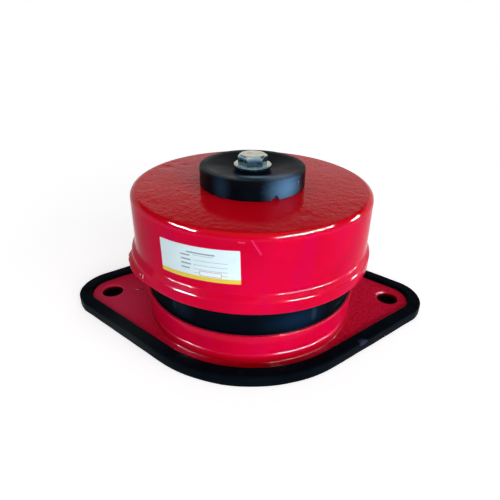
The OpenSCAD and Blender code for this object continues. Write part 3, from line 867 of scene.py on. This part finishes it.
def hexStations():  # points round the hexagon, with rounded corners
    b = bolt
    inner = (b["flats"] / 2 - b["cornerR"]) / cos(radians(30))
    cornerSteps, flatSteps = b["cornerSteps"], b["flatSteps"]
    stations = []
    for n in range(6):
        faceDeg = b["frontDeg"] + 60 * n
        corner, following = [Vector(polar(inner, radians(d))) for d in (faceDeg + 30, faceDeg + 90)]
        for i in range(cornerSteps + 1):
            out = Vector(polar(b["cornerR"], radians(faceDeg + 60 / cornerSteps * i)))
            stations.append(corner + out)
        stations += [corner.lerp(following, i / flatSteps) + out for i in range(1, flatSteps)]
    return stations


def makeBolt(material):
    b = bolt
    bm = bmesh.new()
    stations = hexStations()
    slope = tan(radians(b["chamferDeg"]))
    head, headTop, shankR = b["head"], b["head"] + b["hexH"], b["shankR"]
    edgeDrop, edgeH = b["sideEdge"]
    rings = []
    for level, tuck in enumerate(b["tuck"]):
        ring = []
        for p in stations:
            sideTop = headTop - max(0, p.length - b["crownR"]) * slope - edgeDrop
            z = (head, head + b["footEdge"], sideTop - edgeH, sideTop)[level]
            ring.append(addVert(bm, p.x * (1 - tuck), p.y * (1 - tuck), z))
        rings.append(ring)
    for r, drop in b["crown"]:
        fits = [p * min(r / p.length, b["crownFit"]) for p in stations]
        rings.append([addVert(bm, p.x, p.y, headTop - drop) for p in fits])
    rings.append([addVert(bm, 0, 0, headTop - b["crownDrop"])])
    bridgeAll(bm, rings)
    shank = [(shankR + b["footEdge"], head), (shankR, head - b["footEdge"]), (shankR, head - b["neck"])]
    for i in range(int((b["length"] - b["threadEnd"]) / b["pitch"])):
        z = head - b["threadStart"] - i * b["pitch"]
        shank += [(shankR - b["threadDeep"], z), (shankR, z - b["pitch"] / 2)]
    shank += [(shankR - b["point"], head - b["length"]), (0, head - b["length"])]
    shankRings = turn(bm, shank, stationAngles(b["angleStep"]))
    fillBetween(bm, 0, rings, shankRings)
    makePiece(bm, "hexBolt", material, "cap", "top_bolt", b["sharpDeg"])


def makeWasher(material):
    w = washer
    bm = bmesh.new()
    foot, top, outR, edgeR, footEdge = [w[k] for k in ("foot", "top", "outR", "edgeR", "footEdge")]
    profile = [(w["holeR"], foot), (outR - footEdge, foot), (outR, foot + footEdge), (outR, top - edgeR)]
    profile += arc(outR - edgeR, top - edgeR, edgeR, 0, 90, 5)
    profile += [(outR - w["land"], top), (w["holeR"], top)]
    turn(bm, profile, stationAngles(w["angleStep"]), closed=True)
    makePiece(bm, "flatWasher", material, "cap", "bolt_washer")


zinc = zincPlate()
makeBolt(zinc)
makeWasher(zinc)
print("bolt and washer made")

# blank label on the cap's wall, left of the front; arc is measured along the wall
label = {"arc": -29.2, "z": 75.1, "wide": 49.4, "high": 20.4, "tiltDeg": 1.9, "cornerR": 0.35,
         "layers": (-0.05, 0.22), "across": 64, "up": 26}


def labelPoint(u, v, lift):  # the wall's own point at that place of the label, lifted off it
    s = label
    px, pz = (u - 0.5) * s["wide"], (v - 0.5) * s["high"]
    cornerX, cornerZ = s["wide"] / 2 - s["cornerR"], s["high"] / 2 - s["cornerR"]
    over = Vector((max(abs(px) - cornerX, 0), max(abs(pz) - cornerZ, 0)))
    if over.x > 0 and over.y > 0 and over.length > s["cornerR"]:
        over *= s["cornerR"] / over.length
        px, pz = copysign(cornerX + over.x, px), copysign(cornerZ + over.y, pz)
    tilt = radians(s["tiltDeg"])
    z = s["z"] + px * sin(tilt) + pz * cos(tilt)
    a = (s["arc"] + px * cos(tilt) - pz * sin(tilt)) / cap["wallR"] - pi / 2
    r = cap["wallR"] + capShift(a, cap["wallR"], z)[0] + lift
    return (*polar(r, a), z)


def makeLabel(material):
    bm = bmesh.new()
    uvLayer = bm.loops.layers.uv.new("label")
    across, up = label["across"], label["up"]
    grids, borders, places = [], [], {}
    for lift in label["layers"]:
        grid = []
        for j in range(up + 1):
            row = [addVert(bm, *labelPoint(i / across, j / up, lift)) for i in range(across + 1)]
            places.update({vert: (i / across, j / up) for i, vert in enumerate(row)})
            grid.append(row)
        grids.append(grid)
    for grid in grids:
        for low, high in zip(grid, grid[1:]):
            for i in range(across):
                bm.faces.new((low[i], low[i + 1], high[i + 1], high[i]))
        sides = [row[-1] for row in grid[1:-1]], [row[0] for row in grid[-2:0:-1]]
        borders.append(grid[0] + sides[0] + grid[-1][::-1] + sides[1])
    bridge(bm, *borders)
    for face in bm.faces:
        for loop in face.loops:
            loop[uvLayer].uv = places[loop.vert]
    makePiece(bm, "blankLabel", material, "cap")


makeLabel(labelFilm())
print("label made")

# small cast bead on the flange's left end
bead = {"path": [(-88.6, 3.9), (-87.2, 2.9), (-85.2, 2.2), (-83.4, 2.9), (-82.2, 4.3)], "width": 0.9, "high": 0.4,
        "spanSteps": 6, "sides": 8, "endShape": 0.6, "sharpDeg": 80}


def makeBead(material):
    bm = bmesh.new()
    points = [Vector(p) for p in bead["path"]]
    steps, sides = bead["spanSteps"], bead["sides"]
    dense = [a.lerp(b, i / steps) for a, b in zip(points, points[1:]) for i in range(steps)] + [points[-1]]
    rings = []
    for n, p in enumerate(dense):
        d = (dense[min(n + 1, len(dense) - 1)] - dense[max(n - 1, 0)]).normalized()
        side = Vector((-d.y, d.x))
        grow = sin(pi * (n + 0.5) / len(dense)) ** bead["endShape"]
        ring = []
        for j in range(sides):
            a = 2 * pi * j / sides
            q = p + side * bead["width"] * grow * cos(a)
            ring.append(addVert(bm, q.x, q.y, casting["top"] + bead["high"] * grow * sin(a)))
        rings.append(ring)
    tube(bm, rings)
    makePiece(bm, "castBead", material, "base", sharpDeg=bead["sharpDeg"])


makeBead(bpy.data.materials["baseEnamel"])
print("cast bead made")


def direction(turnRad, upRad):  # from the object, right of the front and up
    return Vector((sin(turnRad) * cos(upRad), -cos(turnRad) * cos(upRad), sin(upRad)))


# camera at the photo's angle: target and distance in millimetres, angles in radians
view = {"target": (-0.485, 0, 43.8), "distance": 317.5, "azimuth": 0.009, "elevation": 0.496, "roll": 0.022,
        "lens": 31.57, "sensor": 36, "clip": 0.01}
back = direction(view["azimuth"], view["elevation"])
right = (-back).cross(Vector((0, 0, 1))).normalized()
up = right.cross(-back)
rolledRight = right * cos(view["roll"]) + up * sin(view["roll"])
rolledUp = up * cos(view["roll"]) - right * sin(view["roll"])
cameraData = bpy.data.cameras.new("camera")
cameraData.lens, cameraData.sensor_width, cameraData.clip_start = view["lens"], view["sensor"], view["clip"]
camera = addObject("camera", cameraData)
camera.matrix_world = Matrix((rolledRight, rolledUp, back)).transposed().to_4x4()
camera.matrix_world.translation = (Vector(view["target"]) + back * view["distance"]) * mm
bpy.context.scene.camera = camera

# lamps: direction right of the front and up in degrees, distance and size in metres, power in watts
white = (1, 1, 1)
lampAim = Vector((0, 0, 0.05))
lamps = {
    "frontSoft": {"turn": 20, "up": 14, "distance": 2.2, "size": (2, 1), "power": 36, "colour": (1, 0.98, 0.97)},
    "rightCool": {"turn": 62, "up": 20, "distance": 2, "size": (1, 1.2), "power": 10, "colour": (0.9, 0.93, 1)},
    "backSoft": {"turn": 190, "up": 8, "distance": 2.2, "size": (2, 1), "power": 14, "colour": white}}
# strips only draw the gleam lines on the enamel
stripShared = {"distance": 1.6, "colour": white}
strips = {
    "stripRight": {"turn": 65, "up": 54, "size": (1.6, 0.12), "power": 750},
    "stripLeft": {"turn": -81, "up": 50, "size": (0.8, 0.12), "power": 430},
    "stripEdge": {"turn": 111, "up": 26, "size": (0.4, 0.1), "power": 75}}
enamelled = bpy.data.collections.new("enamelled")
for name in ("castCap", "castBase", "castBead"):
    enamelled.objects.link(bpy.data.objects[name])


def addLamp(name, lamp):
    data = bpy.data.lights.new(name, "AREA")
    data.shape = "RECTANGLE"
    data.size, data.size_y = lamp["size"]
    data.energy, data.color = lamp["power"], lamp["colour"]
    thing = addObject(name, data)
    towards = direction(radians(lamp["turn"]), radians(lamp["up"]))
    thing.location = lampAim + towards * lamp["distance"]
    thing.rotation_euler = towards.to_track_quat("Z", "Y").to_euler()
    return thing


for name, lamp in lamps.items():
    addLamp(name, lamp).visible_glossy = False
for name, lamp in strips.items():
    strip = addLamp(name, stripShared | lamp)
    strip.visible_diffuse = False
    strip.light_linking.receiver_collection = enamelled
    strip.data.cycles.max_bounces = 0

# pale floor and white surroundings; ceiling and zenith are heights as sines
studio = {
    "floor": (0.8, 0.8, 0.8), "floorRough": 0.9, "reach": 6, "under": 0.0002, "glow": 0.6, "far": (0.3, 0.75),
    "dark": (0.004, 0.004, 0.004), "footprint": (0.12, 0.016),
    "ambient": 0.3, "ceiling": (0.34, 0.44), "ceilingTone": 0.06, "zenith": (0.8, 0.92)}


def makeFloor():
    s = studio
    reach = s["reach"]
    mesh = bpy.data.meshes.new("floor")
    corners = [(-reach, -reach, 0), (reach, -reach, 0), (reach, reach, 0), (-reach, reach, 0)]
    mesh.from_pydata(corners, [], [(0, 1, 2, 3)])
    floor = addObject("floor", mesh)
    floor.location.z = -s["under"]
    material, tree, shader = newMaterial("paleFloor", {"Roughness": s["floorRough"], "Specular IOR Level": 0})
    place = addNode(tree, "ShaderNodeTexCoord", {}).outputs["Object"]
    covered = 1  # painted shade under the footprint: near black and without glow, seen through the fixing holes
    for axis, half in zip(splitAxes(tree, place), s["footprint"]):
        within = mathNode(tree, "LESS_THAN", mathNode(tree, "ABSOLUTE", axis), half)
        covered = times(tree, covered, within)
    feed(tree, shader["Base Color"], mixColour(tree, covered, s["floor"], s["dark"]))
    path = addNode(tree, "ShaderNodeLightPath", {}).outputs
    seen = mathNode(tree, "ADD", path["Is Camera Ray"], path["Is Glossy Ray"])
    seen = mathNode(tree, "ADD", seen, path["Is Transmission Ray"], clamp=True)
    bare = times(tree, mathNode(tree, "SUBTRACT", 1, covered), s["glow"])
    glow = addNode(tree, "ShaderNodeEmission", {"Color": white, "Strength": times(tree, seen, bare)})
    principled = tree.nodes["Principled BSDF"].outputs[0]
    near = addNode(tree, "ShaderNodeAddShader", {0: principled, 1: glow.outputs[0]})
    distance = vectorNode(tree, "LENGTH", place).outputs["Value"]
    far = times(tree, seen, spread(tree, distance, *s["far"], curve="SMOOTHSTEP"))
    backdrop = addNode(tree, "ShaderNodeEmission", {"Color": white, "Strength": 1})
    ground = addNode(tree, "ShaderNodeMixShader", {0: far, 1: near.outputs[0], 2: backdrop.outputs[0]})
    feed(tree, tree.nodes["Material Output"].inputs["Surface"], ground.outputs[0])
    mesh.materials.append(material)


def makeWorld():  # white to the camera; gloss shows white walls, a dim ceiling and a bright zenith
    world = bpy.data.worlds.new("studio")
    bpy.context.scene.world = world
    world.use_nodes = True
    tree = world.node_tree
    height = splitAxes(tree, addNode(tree, "ShaderNodeTexCoord", {}).outputs["Generated"])[2]
    walls = spread(tree, height, *studio["ceiling"], (1, studio["ceilingTone"]))
    mirrored = mathNode(tree, "MAXIMUM", walls, spread(tree, height, *studio["zenith"]))
    path = addNode(tree, "ShaderNodeLightPath", {}).outputs
    mirror = mathNode(tree, "ADD", path["Is Glossy Ray"], path["Is Transmission Ray"], clamp=True)
    unseen = spread(tree, mirror, 0, 1, (studio["ambient"], mirrored))
    background = tree.nodes["Background"].inputs
    feed(tree, background["Color"], white)
    feed(tree, background["Strength"], spread(tree, path["Is Camera Ray"], 0, 1, (unseen, 1)))


makeFloor()
makeWorld()
bpy.context.scene.view_settings.view_transform = "Standard"
print("camera, lamps and floor placed")
